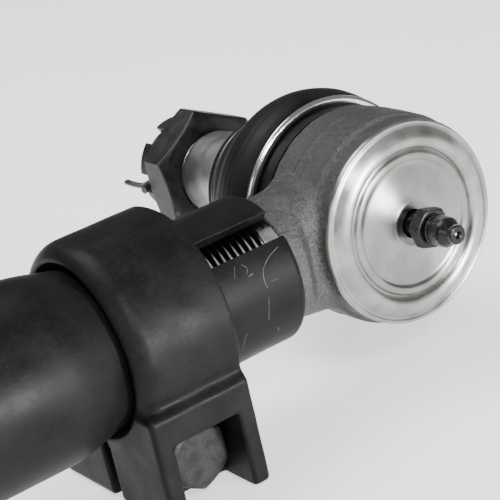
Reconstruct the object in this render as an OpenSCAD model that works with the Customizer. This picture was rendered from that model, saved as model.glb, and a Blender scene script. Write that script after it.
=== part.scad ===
// Tie rod end with its adjusting sleeve and two clamps.
// The sleeve lies along -X, the cover faces -Y, the tapered stud points +Y, and +Z is up.
// The origin is where the sleeve's axis crosses the stud's axis.

/* [Socket] */
// Radius of the socket head at its parting line
head_r = 22.2; // [21:0.1:24]
// Half of the draft: how much the head narrows from the parting line to the front rim
head_draft = 0.65; // [0:0.05:1]
// Front edge of the head, along Y
head_front_y = -12.15; // [-13:0.05:-12]
// Rear shoulder of the head, along Y
head_rear_y = 9.2; // [8:0.1:10]
// Radius of the rolled lip's outer foot
lip_foot_r = 19.5; // [19:0.1:20]
// Radius of the rolled lip's inner edge
lip_edge_r = 15.3; // [15:0.05:16]
// How far the rolled lip stands proud of the rim
lip_h = 1.2; // [1:0.1:1.6]

/* [Ball stud] */
// Radius of the ball
ball_r = 12.7; // [12:0.1:13]
// Ball centre, along Y
ball_y = 2.5; // [2:0.1:3]
// Radius of the stud's neck next to the ball
neck_r = 7.5; // [7:0.1:7.6]
// Radius at the large end of the taper
taper_r = 11; // [10.5:0.1:11.2]
// Length of the 1.5 in per foot taper
taper_len = 18.4; // [14:0.1:19]
// Radius of the stud's thread
stud_thread_r = 9.5; // [9:0.05:9.6]
// Pitch of both threads
pitch = 1.5875; // [1.5:0.0001:1.6]
// End of the stud, along Y
stud_end_y = 77; // [76:0.5:80]

/* [Castle nut] */
// Width of the nut across its flats
nut_af = 26.99; // [26:0.01:28]
// Height of the hexagon
nut_hex_h = 9.2; // [9:0.1:12]
// Height of the crown
crown_h = 6.2; // [5:0.1:7]
// Direction of the first corner, degrees from +X towards +Z
nut_turn = 94.5; // [0:0.1:360]

/* [Dust boot] */
// Largest radius of the boot
boot_r = 24.4; // [24:0.1:25]
// Wall of the boot
boot_wall = 1.8; // [1.6:0.1:2]
// End of the boot's lip, along Y
boot_end_y = 39.4; // [39:0.1:40]

/* [Grease fitting] */
// Width of the fitting's hexagon across its flats
zerk_af = 7.94; // [7:0.01:8]
// Tip of the fitting, along Y
zerk_tip_y = -27.4; // [-28:0.1:-26]
// Radius of the check ball
check_r = 1; // [0.9:0.05:1.1]

/* [Adjusting sleeve] */
// Outer radius of the threaded ends
sleeve_r = 15.875; // [15.5:0.005:16.5]
// Outer radius of the middle
middle_r = 19.05; // [18:0.05:19.5]
// Distance from the origin to the near end
sleeve_start = 30.5; // [30.3:0.1:32]
// Length of the sleeve
sleeve_len = 150.3; // [140:0.1:170]
// Radius of the shank's thread, 1 inch across
shank_r = 12.7; // [12.6:0.05:12.75]
// Width of the clamping slots
slot_w = 6.1; // [6:0.1:8]
// Length of the clamping slots
slot_len = 40; // [36:1:44]
// Direction of the slots, degrees from +Z towards -Y
slot_turn = 40.5; // [0:0.5:90]

/* [Clamps] */
// Outer radius of a clamp
clamp_r = 21.55; // [21:0.05:23]
// Distance from the origin to the near clamp
clamp_start = 51.1; // [50:0.1:52]
// Width of a clamp
clamp_w = 23.5; // [20:0.1:24]
// Rounding of a clamp's outer edge
clamp_round = 5; // [3:0.5:6]
// Depth of the clamp's ears below the sleeve's axis
ear_drop = 33; // [32:0.5:36]
// Radius of the clamp bolts
bolt_r = 3.97; // [3.9:0.01:4]

/* [Hidden] */
$fn = 96;
fit = 0.05;                      // radial running clearance
eps = 0.01;
thread_depth = 0.6134 * pitch;
// socket
cavity_r = 15.6;
plate_seat_y = -10.9;            // shoulder that the cover plate rests on
plate_edge_y = -12.9;            // face of the cover plate under the rolled lip
plate_r = 17.3;
mouth_y = 12.5;                  // rear face of the housing's mouth
mouth_r = 13.5;
throat_y = 8.4;
throat_r = 12.3;
boss_r = 19;
flank_r = head_r - head_draft;
socket_neck_r = 13;
neck_front_y = -9.4;             // flat front of the neck beside the head
shank_plain_d = 33.4;            // where the shank's thread starts
shank_end_d = 88;
// stud
neck_end_y = 18.2;
flare_end_y = 26;
taper_start_y = 41;
taper_end_y = taper_start_y + taper_len;
taper_end_r = taper_r - taper_len * 0.0625;
nut_y = taper_end_y + 0.3;
crown_y = nut_y + nut_hex_h;
nut_end_y = crown_y + crown_h;
nut_corner_r = nut_af / 2 / cos(30);
nut_face_r = 13.1;                // bearing face, inside its chamfer
nut_chamfer = 1.8;
crown_r = 11.9;
castle_slot_w = 4.4;
pin_r = 1.6;
pin_y = crown_y + crown_h / 2;
pin_turn = nut_turn + 90;        // direction that the pin's legs leave the crown
// grease fitting
zerk_hex_y = -17;                // face of the fitting's hexagon towards the cover
zerk_hex_h = 3;
barrel_r = 3.2;
neck_of_zerk_r = 2.5;
channel_r = 1.3;
check_y = zerk_tip_y + 1.6;
// sleeve
sleeve_end = sleeve_start + sleeve_len;
sleeve_mid = sleeve_start + sleeve_len / 2;
bore_r = shank_r + fit;
middle_bore_r = middle_r - 3.2;
end_round = 1.8;
swage_len = 19;
middle_half = 19.15;             // half length of the middle at its full size
// clamps
clamp_bore_r = sleeve_r + 0.04;
flare_r = 18.5;
flare_len = 7;
bolt_z = -24.1;
ear_half_y = 21.5;
ear_top_z = -9.5;
ear_gap = 3.2;
ear_face_y = 10.5;
pocket_r = 7.6;                  // half width of the pocket around each bolt
head_h = 5.4;
washer_h = 2;
clamp_nut_h = 6.9;
bolt_af = 12.7;
seal_r = 21.4;                   // outer radius of the boot's seat seal
seat_depth = 0.1;                // how far the boss is turned down for the seal

// Turn a solid of revolution so that its own axis lies along +Y
module along_y() rotate([-90, 0, 0]) children();

// Turn a solid of revolution so that its own axis lies along -X
module along_sleeve() rotate([0, -90, 0]) children();

// Ring with a rectangular section about Y
module ring_y(r_in, r_out, y0, y1) along_y() rotate_extrude()
    translate([r_in, y0]) square([r_out - r_in, y1 - y0]);

// Points of an arc, for the round stretches of an outline
function arc(cx, cy, r, a0, a1, n = 8) =
    [for (i = [0:n]) [cx + r * cos(a0 + (a1 - a0) * i / n), cy + r * sin(a0 + (a1 - a0) * i / n)]];

// Outline of a thread drawn as rings: crests at r, from y0 up to y1
function thread(r, y0, y1) =
    [for (i = [0 : floor((y1 - y0) / pitch) - 1], s = [0:3])
        [s == 0 || s == 3 ? r : r - thread_depth,
         y0 + pitch * (i + [0.06, 0.44, 0.56, 0.94][s])]];

module hex_bar(af, y0, y1, turn = 0) along_y() rotate([0, 0, -turn])
    translate([0, 0, y0]) cylinder(r = af / 2 / cos(30), h = y1 - y0, $fn = 6);

// Forged head, turned about Y: draft on both sides of a parting step, rolled lip in front
module head_blank() along_y() rotate_extrude() polygon(concat(
    [[0, mouth_y], [0, head_front_y - 0.7]],
    [[lip_foot_r, head_front_y - 0.7]],
    [[flank_r - 0.7, head_front_y - 0.6], [flank_r, head_front_y]],
    [[head_r, -7.6], [head_r + 0.25, -7.2]],
    arc(head_r - 1.55, head_rear_y - 2, 2, 0, 90, 4),
    [[boss_r, head_rear_y], [boss_r, mouth_y - 0.4], [boss_r - 0.4, mouth_y]]));

module rolled_lip() along_y() rotate_extrude() polygon(concat(
    [[lip_edge_r, plate_edge_y + 0.5]],
    [for (i = [0:12]) [(lip_foot_r + lip_edge_r - (lip_foot_r - lip_edge_r) * cos(15 * i)) / 2,
        head_front_y - 0.7 - lip_h * sin(15 * i)]],
    [[lip_foot_r, plate_edge_y + 0.5]]));

// Neck: a flared round bar along the sleeve's axis, flattened in front where it meets the head
module neck() intersection() {
    along_sleeve() rotate_extrude() polygon(concat(
        [[0, 8], [20, 8]],
        arc(socket_neck_r + 9, 26, 9, 240, 180, 8),
        [[socket_neck_r, 28.9]],
        arc(socket_neck_r - 1, 28.9, 1, 0, 90, 4),
        [[0, 29.9]]));
    translate([0, 0, -24]) linear_extrude(48) polygon([
        [0, neck_front_y], [0, mouth_y - 0.2], [-32, mouth_y - 0.2],
        [-32, -socket_neck_r - 0.5], [-28, -socket_neck_r - 0.5], [-23.5, neck_front_y]]);
}

module shank() along_sleeve() rotate_extrude() polygon(concat(
    [[0, 28], [shank_r - 0.5, 28], [shank_r - 0.5, shank_plain_d - 0.8], [shank_r - 0.05, shank_plain_d]],
    thread(shank_r - 0.05, shank_plain_d, shank_end_d - 1.5),
    [[shank_r - 1.2, shank_end_d], [0, shank_end_d]]));

module socket_housing() color("gray") difference() {
    union() {
        head_blank();
        neck();
        shank();
        difference() {
            rolled_lip();
            ring_y(0, lip_edge_r, -20, 0);
        }
    }
    ring_y(0, lip_edge_r, -20, plate_edge_y + eps);
    ring_y(boss_r - seat_depth, seal_r + fit, head_rear_y - fit, mouth_y + 1);
    ring_y(0, plate_r, plate_edge_y, plate_seat_y);
    ring_y(0, cavity_r, plate_seat_y - eps, throat_y);
    along_y() rotate_extrude()
        polygon([[0, throat_y - eps], [throat_r, throat_y - eps], [throat_r, throat_y + 0.8],
            [mouth_r, mouth_y + eps], [0, mouth_y + eps]]);
}

// Bearing ring behind the ball, with a spherical seat
module upper_race() color("silver") difference() {
    ring_y(11, cavity_r - 0.02, ball_y + 0.6, throat_y - 0.05);
    translate([0, ball_y, 0]) sphere(r = ball_r + fit);
}

// Spring-loaded cup in front of the ball
module pressure_seat() color("silver") difference() {
    ring_y(6.2, cavity_r - 0.1, -8.6, ball_y - 1.2);
    translate([0, ball_y, 0]) sphere(r = ball_r + fit);
}

// Dished spring washer between the cup and the cover plate
module preload_spring() color("dimgray") along_y() rotate_extrude()
    polygon([[8, -9.6], [13.4, -8.7], [13.4, -9.6], [8, -10.5]]);

// Dished cover plate held by the rolled lip
module cover_plate() color("silver") along_y() rotate_extrude() polygon([
    [3.05, plate_seat_y], [plate_r - 0.05, plate_seat_y], [plate_r - 0.05, plate_edge_y + 0.02],
    [15.2, plate_edge_y + 0.02], [15, plate_edge_y - 0.5], [13.9, plate_edge_y - 0.5],
    [13.6, plate_edge_y - 0.1], [11, plate_edge_y - 0.3], [7, plate_edge_y - 0.7],
    [4.6, plate_edge_y - 0.8], [3.05, plate_edge_y - 0.8]]);

// Straight grease fitting: a neck, a hexagon, a barrel and a coupling tip
module grease_fitting() color("black") {
    along_y() rotate_extrude() polygon([
        [0.75, zerk_tip_y], [1.75, zerk_tip_y], [2, zerk_tip_y + 0.4], [2, zerk_tip_y + 1.2],
        [barrel_r, zerk_tip_y + 3], [barrel_r, zerk_hex_y - zerk_hex_h - 0.6],
        [2.7, zerk_hex_y - zerk_hex_h - 0.2], [2.7, zerk_hex_y - 0.6], [neck_of_zerk_r, zerk_hex_y - 0.6],
        [neck_of_zerk_r, plate_edge_y - 0.9], [3, plate_edge_y - 0.9], [3, plate_seat_y - 0.1],
        [channel_r, plate_seat_y - 0.1], [channel_r, zerk_tip_y + 0.9], [0.75, zerk_tip_y + 0.9]]);
    difference() {
        hex_bar(zerk_af, zerk_hex_y - zerk_hex_h, zerk_hex_y, 15);
        along_y() translate([0, 0, zerk_hex_y - zerk_hex_h - 1]) cylinder(r = 2.2, h = zerk_hex_h + 2);
    }
}

module fitting_check_ball() color("gainsboro") translate([0, check_y, 0]) sphere(r = check_r, $fn = 48);

// Closed-up coil spring behind the check ball
module fitting_spring() color("gray")
    for (i = [0:4]) translate([0, check_y + 2.1 + i * 0.9, 0])
        along_y() rotate_extrude($fn = 32) translate([0.85, 0]) circle(r = 0.2, $fn = 16);

module boot_base_seal() color("black") ring_y(boss_r - seat_depth + 0.02, seal_r, head_rear_y, mouth_y - 0.05);

module boot_ring() color("gainsboro") along_y() rotate_extrude() polygon([
    [21.9, mouth_y + 0.1], [22.9, mouth_y], [23.57, mouth_y + 0.5], [23.57, mouth_y + 1.1],
    [23.2, mouth_y + 1.4], [21.9, mouth_y + 1.4]]);

// Closed shell of the rubber boot: base bead, bulge, shoulder and lip
module dust_boot() color("black") along_y() rotate_extrude() polygon(concat(
    [[boss_r + 0.3, mouth_y + 0.02], [21.85, mouth_y + 0.02], [21.85, mouth_y + 1.45],
     [22.9, mouth_y + 1.6], [24.1, 16.4], [boot_r, 19.6], [24, 22.6], [22.5, 26.2], [20.2, 29.2],
     [18.6, 30.2], [18.5, 32.6], [17.4, 35], [15.9, 36.2], [15.2, 36.6], [15.2, 37.8], [15.8, 38.2],
     [15.8, boot_end_y], [taper_r + 0.1, boot_end_y], [taper_r + 0.1, 36.8], [15, 34.6],
     [16.7, 32], [17.2, 29.4], [19, 27.9], [20.8, 25.4]],
    [[boot_r - 2.1, 22.3], [boot_r - boot_wall, 19.6], [22.3, 16.9], [21, 15.2], [boss_r + 0.3, 14.4]]));

module boot_lip_ring() color("silver") along_y() rotate_extrude()
    translate([15.25 + 0.55, 37.2]) circle(r = 0.5, $fn = 24);

module ball_stud() color("lightgray") difference() {
    along_y() rotate_extrude() {
        intersection() {
            translate([0, ball_y]) circle(r = ball_r);
            translate([0, ball_y - ball_r + 1.6]) square([ball_r, 2 * ball_r]);
        }
        polygon(concat(
            [[0, ball_y], [neck_r, ball_y], [neck_r, neck_end_y], [8.2, neck_end_y + 2.6],
             [10.2, flare_end_y - 1.6], [taper_r, flare_end_y], [taper_r, taper_start_y],
             [taper_end_r, taper_end_y], [stud_thread_r, taper_end_y + 0.2]],
            thread(stud_thread_r, taper_end_y + 0.4, stud_end_y - 1.4),
            [[stud_thread_r - 1.2, stud_end_y], [0, stud_end_y]]));
    }
    pin_line() cylinder(r = pin_r + 0.2, h = 60, center = true);
}

// Line of the cotter pin through the stud; +Z of the child runs out of the crown slot
module pin_line() translate([0, pin_y, 0]) rotate([0, 90 - pin_turn, 0]) children();

module castle_nut() color("#202124") difference() {
    union() {
        intersection() {
            hex_bar(nut_af, nut_y, crown_y, nut_turn);
            along_y() rotate_extrude() polygon([[0, nut_y], [nut_face_r, nut_y],
                [nut_corner_r + 0.6, nut_y + nut_chamfer], [nut_corner_r + 0.6, crown_y - 1.8],
                [crown_r + 0.5, crown_y], [0, crown_y]]);
        }
        along_y() rotate_extrude() polygon([[0, crown_y - 1], [crown_r, crown_y - 1],
            [crown_r, nut_end_y - 1], [crown_r - 1, nut_end_y], [0, nut_end_y]]);
    }
    ring_y(0, stud_thread_r + fit, nut_y - 1, nut_end_y + 1);
    for (a = [0, 60, 120]) along_y() rotate([0, 0, -pin_turn - a])
        translate([-20, -castle_slot_w / 2, crown_y]) cube([40, castle_slot_w, crown_h + 1]);
}

// Split pin: an eye on one side, two legs bent apart on the other
module cotter_pin() color("dimgray") pin_line() {
    translate([0, 0, -14.2]) cylinder(r = pin_r, h = 27.4, $fn = 32);
    translate([0, 0, -16.8]) rotate([90, 0, 0]) rotate_extrude() translate([2.2, 0]) circle(r = 1.1, $fn = 24);
    translate([0, 0.5, 13.4]) sphere(r = pin_r, $fn = 32);
    translate([0, 0.5, 13.4]) rotate([-87, 0, 0]) cylinder(r = 1.1, h = 7.5, $fn = 24);
    translate([0, -0.4, 13.2]) rotate([0, 72, 0]) cylinder(r = 1.1, h = 6, $fn = 24);
}

// Cut for one clamping slot, from distance d0 to d1 along the sleeve
module slot_cut(d0, d1) along_sleeve() rotate([0, 0, -slot_turn])
    translate([0, -slot_w / 2, d0]) cube([middle_r + 4, slot_w, d1 - d0]);

module adjusting_sleeve() color("#33353a") difference() {
    along_sleeve() rotate_extrude() polygon(concat(
        [[bore_r, sleeve_end], [bore_r, sleeve_mid + 16], [middle_bore_r, sleeve_mid + 8],
         [middle_bore_r, sleeve_mid - 8], [bore_r, sleeve_mid - 16], [bore_r, sleeve_start]],
        arc(sleeve_r - end_round, sleeve_start + end_round, end_round, 270, 360, 5),
        swage(sleeve_mid - middle_half - swage_len, 1),
        swage(sleeve_mid + middle_half + swage_len, -1),
        arc(sleeve_r - end_round, sleeve_end - end_round, end_round, 0, 90, 5)));
    slot_cut(sleeve_start - 1, sleeve_start + slot_len);
    slot_cut(sleeve_end - slot_len, sleeve_end + 1);
}

// Outline of the swage between an end and the middle, from distance d; dir is 1 outwards, -1 back
function swage(d, dir) =
    [for (i = [0:6]) let (t = (dir > 0 ? i : 6 - i) / 6)
        [sleeve_r + (middle_r - sleeve_r) * (3 * t * t - 2 * t * t * t), d + dir * swage_len * t]];

// Heavy clamp whose near face is at distance d; dir is 1 when its round edge faces the far end
module clamp(d, dir) color("#2b2d31") translate([-d, 0, 0]) flip_x(dir) difference() {
    union() {
        along_sleeve() rotate_extrude() polygon(concat(
            [[clamp_bore_r - 2, 0], [clamp_r - 1, 0]],
            arc(clamp_r - 1, 1, 1, 270, 360, 4),
            arc(clamp_r - clamp_round, clamp_w - clamp_round, clamp_round, 0, 80, 7),
            [[flare_r - 4, clamp_w]]));
        translate([-clamp_w, -ear_half_y, -ear_drop])
            cube([clamp_w, 2 * ear_half_y, ear_drop + ear_top_z]);
    }
    along_sleeve() rotate_extrude() polygon([[0, -1], [clamp_bore_r, -1], [clamp_bore_r, clamp_w - flare_len],
        [flare_r, clamp_w + 0.1], [0, clamp_w + 0.1]]);
    translate([-clamp_w - 1, -ear_gap / 2, -ear_drop - 1]) cube([clamp_w + 2, ear_gap, ear_drop - 6]);
    for (side = [-90, 90]) translate([-clamp_w / 2, 0, bolt_z]) rotate([side, 0, 0])
        translate([0, 0, ear_face_y]) pocket(side);
    translate([-clamp_w / 2, 0, bolt_z]) rotate([90, 0, 0]) cylinder(r = bolt_r + 0.4, h = 60, center = true);
}

// Arched pocket around a bolt's head or nut, open at the ear's lower end
module pocket(side) {
    cylinder(r = pocket_r, h = 20);
    translate([-pocket_r, side > 0 ? -20 : 0, 0]) cube([2 * pocket_r, 20, 20]);
}

module flip_x(dir) mirror([dir < 0 ? 1 : 0, 0, 0]) children();

module near_clamp() clamp(clamp_start, 1);

module far_clamp() clamp(sleeve_start + sleeve_end - clamp_start, -1);

// Place children at each clamp bolt, with +Z of the child along +Y
module at_bolts() for (d = [clamp_start + clamp_w / 2, sleeve_start + sleeve_end - clamp_start - clamp_w / 2])
    translate([-d, 0, bolt_z]) rotate([-90, 0, 0]) children();

module clamp_bolts() color("dimgray") at_bolts() {
    intersection() {
        translate([0, 0, -ear_face_y - head_h]) rotate([0, 0, 30])
            cylinder(r = bolt_af / 2 / cos(30), h = head_h, $fn = 6);
        translate([0, 0, -ear_face_y - head_h]) cylinder(r1 = bolt_af / 2, r2 = bolt_af / 2 + 12, h = 12);
    }
    translate([0, 0, -ear_face_y - 1]) cylinder(r = bolt_r, h = 2 * ear_face_y + 1 + washer_h + clamp_nut_h + 3);
}

module clamp_lock_washers() color("gray") at_bolts() translate([0, 0, ear_face_y]) difference() {
    cylinder(r = 6.4, h = washer_h);
    translate([0, 0, -1]) cylinder(r = bolt_r + 0.1, h = washer_h + 2);
    rotate([0, 0, 30]) translate([0, -0.6, -1]) cube([12, 1.2, washer_h + 2]);
}

module clamp_nuts() color("dimgray") at_bolts() translate([0, 0, ear_face_y + washer_h]) difference() {
    rotate([0, 0, 30]) cylinder(r = bolt_af / 2 / cos(30), h = clamp_nut_h, $fn = 6);
    translate([0, 0, -1]) cylinder(r = bolt_r + fit, h = clamp_nut_h + 2);
}

socket_housing();
upper_race();
pressure_seat();
preload_spring();
cover_plate();
grease_fitting();
fitting_check_ball();
fitting_spring();
boot_base_seal();
boot_ring();
dust_boot();
boot_lip_ring();
ball_stud();
castle_nut();
cotter_pin();
adjusting_sleeve();
near_clamp();
far_clamp();
clamp_bolts();
clamp_lock_washers();
clamp_nuts();
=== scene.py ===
"""Looks of a forged tie rod end in its slotted adjusting sleeve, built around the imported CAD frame.

Lengths in the classes are millimetres, in the CAD's own axes: the sleeve lies along -X, the cover
faces -Y, the stud points along +Y, and +Z is up. Meshes are scaled to metres as they are made.
"""

import logging  # noqa: E402
import math  # noqa: E402
from collections.abc import Callable, Sequence  # noqa: E402
from dataclasses import dataclass, field  # noqa: E402
from enum import Enum  # noqa: E402

import bpy  # noqa: E402
import numpy as np  # noqa: E402
from mathutils import Matrix, Vector  # noqa: E402


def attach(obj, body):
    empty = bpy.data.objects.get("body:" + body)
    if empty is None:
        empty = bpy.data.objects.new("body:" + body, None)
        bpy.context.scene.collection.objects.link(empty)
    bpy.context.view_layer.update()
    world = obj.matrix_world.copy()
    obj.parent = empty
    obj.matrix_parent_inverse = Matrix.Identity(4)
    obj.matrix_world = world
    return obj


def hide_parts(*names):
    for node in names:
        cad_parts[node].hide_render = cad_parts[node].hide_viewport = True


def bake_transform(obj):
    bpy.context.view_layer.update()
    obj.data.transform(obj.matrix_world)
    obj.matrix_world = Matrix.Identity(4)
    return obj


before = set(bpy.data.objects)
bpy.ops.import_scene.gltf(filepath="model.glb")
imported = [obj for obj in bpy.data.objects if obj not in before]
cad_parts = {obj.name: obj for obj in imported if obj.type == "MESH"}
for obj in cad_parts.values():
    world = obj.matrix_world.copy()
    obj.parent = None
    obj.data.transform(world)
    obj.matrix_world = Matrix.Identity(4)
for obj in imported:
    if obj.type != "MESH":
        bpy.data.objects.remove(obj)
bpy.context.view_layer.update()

MM = 0.001
Colour = tuple[float, float, float]
Outline = Sequence[tuple[float, float]]
Field = Callable[[np.ndarray], np.ndarray]
log = logging.getLogger("tie_rod_end")


class Axis(Enum):
    """The line that a turned piece is turned about."""

    STUD = "stud"
    SLEEVE = "sleeve"


# ---------------------------------------------------------------- finishes


class NodeSheet:
    """Short ways of adding and joining nodes in one material."""

    def __init__(self, name: str) -> None:
        """Start a material with only its shader and output.

        Args:
            name: the material's name.
        """
        self.material = bpy.data.materials.new(name)
        self.material.use_nodes = True
        self.tree = self.material.node_tree
        self.shader = self.tree.nodes["Principled BSDF"]

    def add(self, kind: str, inputs: dict[str | int, object] | None = None, **settings: object) -> bpy.types.Node:
        """Add a node.

        Args:
            kind: the node's class name, without the ShaderNode in front.
            inputs: values or output sockets for its inputs, by name or number.
            settings: the node's own properties.

        Returns:
            The new node.
        """
        node = self.tree.nodes.new("ShaderNode" + kind)
        for key, value in settings.items():
            setattr(node, key, value)
        for key, value in (inputs or {}).items():
            if isinstance(value, bpy.types.NodeSocket):
                self.tree.links.new(value, node.inputs[key])
            else:
                node.inputs[key].default_value = value
        return node

    def place(self) -> bpy.types.NodeSocket:
        """The point on the piece, in the piece's own axes."""
        return self.add("TexCoord").outputs["Object"]

    def noise(self, size_mm: float, detail: float = 4.0, stretch: Colour = (1, 1, 1)) -> bpy.types.NodeSocket:
        """Noise whose blotches are about size_mm across, drawn out along each axis by stretch.

        Args:
            size_mm: how wide a blotch is, in millimetres.
            detail: how many finer layers it has.
            stretch: how far it is drawn out along each axis.

        Returns:
            The noise, from 0 to 1.
        """
        scale = self.add("Mapping", {"Vector": self.place(), "Scale": tuple(1 / s for s in stretch)})
        return self.add(
            "TexNoise", {"Vector": scale.outputs[0], "Scale": 1 / (size_mm * MM), "Detail": detail}
        ).outputs[0]

    def ramp(self, value: bpy.types.NodeSocket, low: float, high: float, to: tuple[float, float] = (0, 1)
             ) -> bpy.types.NodeSocket:
        """Map a value's range low to high onto the range to, clamped and eased."""
        inputs = {0: value, 1: low, 2: high, 3: to[0], 4: to[1]}
        return self.add("MapRange", inputs, interpolation_type="SMOOTHSTEP").outputs[0]

    def sum(self, kind: str, a: object, b: object) -> bpy.types.NodeSocket:
        """One arithmetic step, such as MULTIPLY or ADD."""
        return self.add("Math", {0: a, 1: b}, operation=kind).outputs[0]

    def mix(self, share: object, a: object, b: object) -> bpy.types.NodeSocket:
        """Blend two colours by share.

        Args:
            share: how much of b there is.
            a: a colour, or the socket of one.
            b: the other.

        Returns:
            The blended colour.
        """
        node = self.add("Mix", {0: share}, data_type="RGBA")
        for socket, value in ((node.inputs[6], a), (node.inputs[7], b)):
            if isinstance(value, bpy.types.NodeSocket):
                self.tree.links.new(value, socket)
            else:
                socket.default_value = (*value, 1)
        return node.outputs[2]

    def shade(self, **sockets: object) -> None:
        """Give values or links to the shader, by the socket's name with _ for a space.

        Args:
            sockets: the values and links.
        """
        for key, value in sockets.items():
            socket = self.shader.inputs[key.replace("_", " ")]
            if isinstance(value, bpy.types.NodeSocket):
                self.tree.links.new(value, socket)
            else:
                socket.default_value = value

    def bump(self, height: bpy.types.NodeSocket, depth_mm: float, under: object = None) -> bpy.types.NodeSocket:
        """Relief of depth_mm from a height between 0 and 1, laid over an earlier relief.

        Args:
            height: the height at each place.
            depth_mm: the depth of the relief, in millimetres.
            under: the earlier relief, if there is one.

        Returns:
            The normal.
        """
        node = self.add("Bump", {"Height": height, "Distance": depth_mm * MM, "Strength": 1.0})
        if under is not None:
            self.tree.links.new(under, node.inputs["Normal"])
        return node.outputs[0]


@dataclass(frozen=True)
class Finish:
    """A surface with two tones, a roughness range, relief in two sizes, and worn edges.

    Sizes are in millimetres. `slot` names its material slot and is not used.
    """

    name: str
    slot: str
    dark: Colour
    light: Colour
    metallic: float
    roughness: tuple[float, float]
    blotch: float = 6.0
    grain: float = 0.8
    grain_depth: float = 0.04
    swell_depth: float = 0.0
    scuff: float = 0.0
    wear: float = 0.0
    bare: Colour = (0.35, 0.34, 0.33)
    specular: float = 0.5

    def make(self) -> bpy.types.Material:
        """Build the material's nodes.

        Returns:
            The material, ready for a piece.
        """
        sheet = NodeSheet(self.name)
        blotch = sheet.noise(self.blotch, 5)
        grain = sheet.noise(self.grain, 3)
        tone = sheet.sum("ADD", sheet.sum("MULTIPLY", blotch, 0.65), sheet.sum("MULTIPLY", grain, 0.35))
        colour = sheet.mix(sheet.ramp(tone, 0.36, 0.64), self.dark, self.light)
        if self.scuff:
            streak = sheet.noise(0.9, 3, (9, 1, 1))
            patch = sheet.ramp(sheet.noise(11, 2), 0.54, 0.66)
            scuffed = sheet.sum("MULTIPLY", sheet.ramp(streak, 0.58, 0.72, (0, self.scuff)), patch)
            colour = sheet.mix(scuffed, colour, self.bare)
        if self.wear:
            edge = sheet.ramp(sheet.add("NewGeometry").outputs["Pointiness"], 0.53, 0.6)
            worn = sheet.sum("MULTIPLY", edge, sheet.ramp(grain, 0.35, 0.6, (0, self.wear)))
            colour = sheet.mix(worn, colour, self.bare)
        relief = sheet.bump(grain, self.grain_depth)
        if self.swell_depth:
            relief = sheet.bump(blotch, self.swell_depth, relief)
        rough = sheet.ramp(tone, 0.3, 0.7, self.roughness)
        sheet.shade(Base_Color=colour, Metallic=self.metallic, Roughness=rough, Normal=relief,
                    Specular_IOR_Level=self.specular)
        return sheet.material


@dataclass(frozen=True)
class ThreadSteel:
    """A cut thread about the sleeve's or the stud's axis: bright crests over dark roots, the dark roots being painted
    shade.

    `crest` and `root` are the radii, in millimetres, where it is all bright and all dark. A painted shadow of the
    slot's upper wall darkens the side towards the shadow side angle, in degrees, and the shadow falloff sets how fast
    it goes dark.
    """

    name: str
    slot: str
    axis: Axis
    crest: float
    root: float
    bright: Colour = (0.5, 0.5, 0.49)
    dark: Colour = (0.01, 0.01, 0.01)
    shadow_side_deg: float = 0.0
    shadow_falloff: float = 0.0

    def make(self) -> bpy.types.Material:
        """Build the material's nodes.

        Returns:
            The material, ready for a threaded bar.
        """
        sheet = NodeSheet(self.name)
        split = sheet.add("SeparateXYZ", {0: sheet.place()})
        across = (0, 2) if self.axis is Axis.STUD else (1, 2)
        squares = [sheet.sum("MULTIPLY", split.outputs[i], split.outputs[i]) for i in across]
        radius = sheet.sum("SQRT", sheet.sum("ADD", *squares), 0.0)
        flaw = sheet.sum("MULTIPLY", sheet.noise(0.8, 3), 0.0002)
        # Painted shadow: darken the side facing the slot's upper wall, where that wall's shade falls on the thread.
        a = math.radians(self.shadow_side_deg)
        side = sheet.add("VectorMath", {0: sheet.place(), 1: (0, math.cos(a), math.sin(a))}, operation="DOT_PRODUCT")
        slot_shadow = sheet.sum("MULTIPLY", side.outputs["Value"], -self.shadow_falloff)
        height = sheet.sum("ADD", sheet.sum("ADD", radius, flaw), slot_shadow)
        # Painted shade: the thread's roots take the dark colour and its crests the bright one.
        crest = sheet.ramp(height, self.root * MM, self.crest * MM)
        colour = sheet.mix(crest, self.dark, self.bright)
        rough = sheet.ramp(sheet.noise(0.7, 3), 0.3, 0.7, (0.28, 0.45))
        sheet.shade(Base_Color=colour, Metallic=0.85, Roughness=rough, Normal=sheet.bump(sheet.noise(0.4, 2), 0.02))
        return sheet.material


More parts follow.
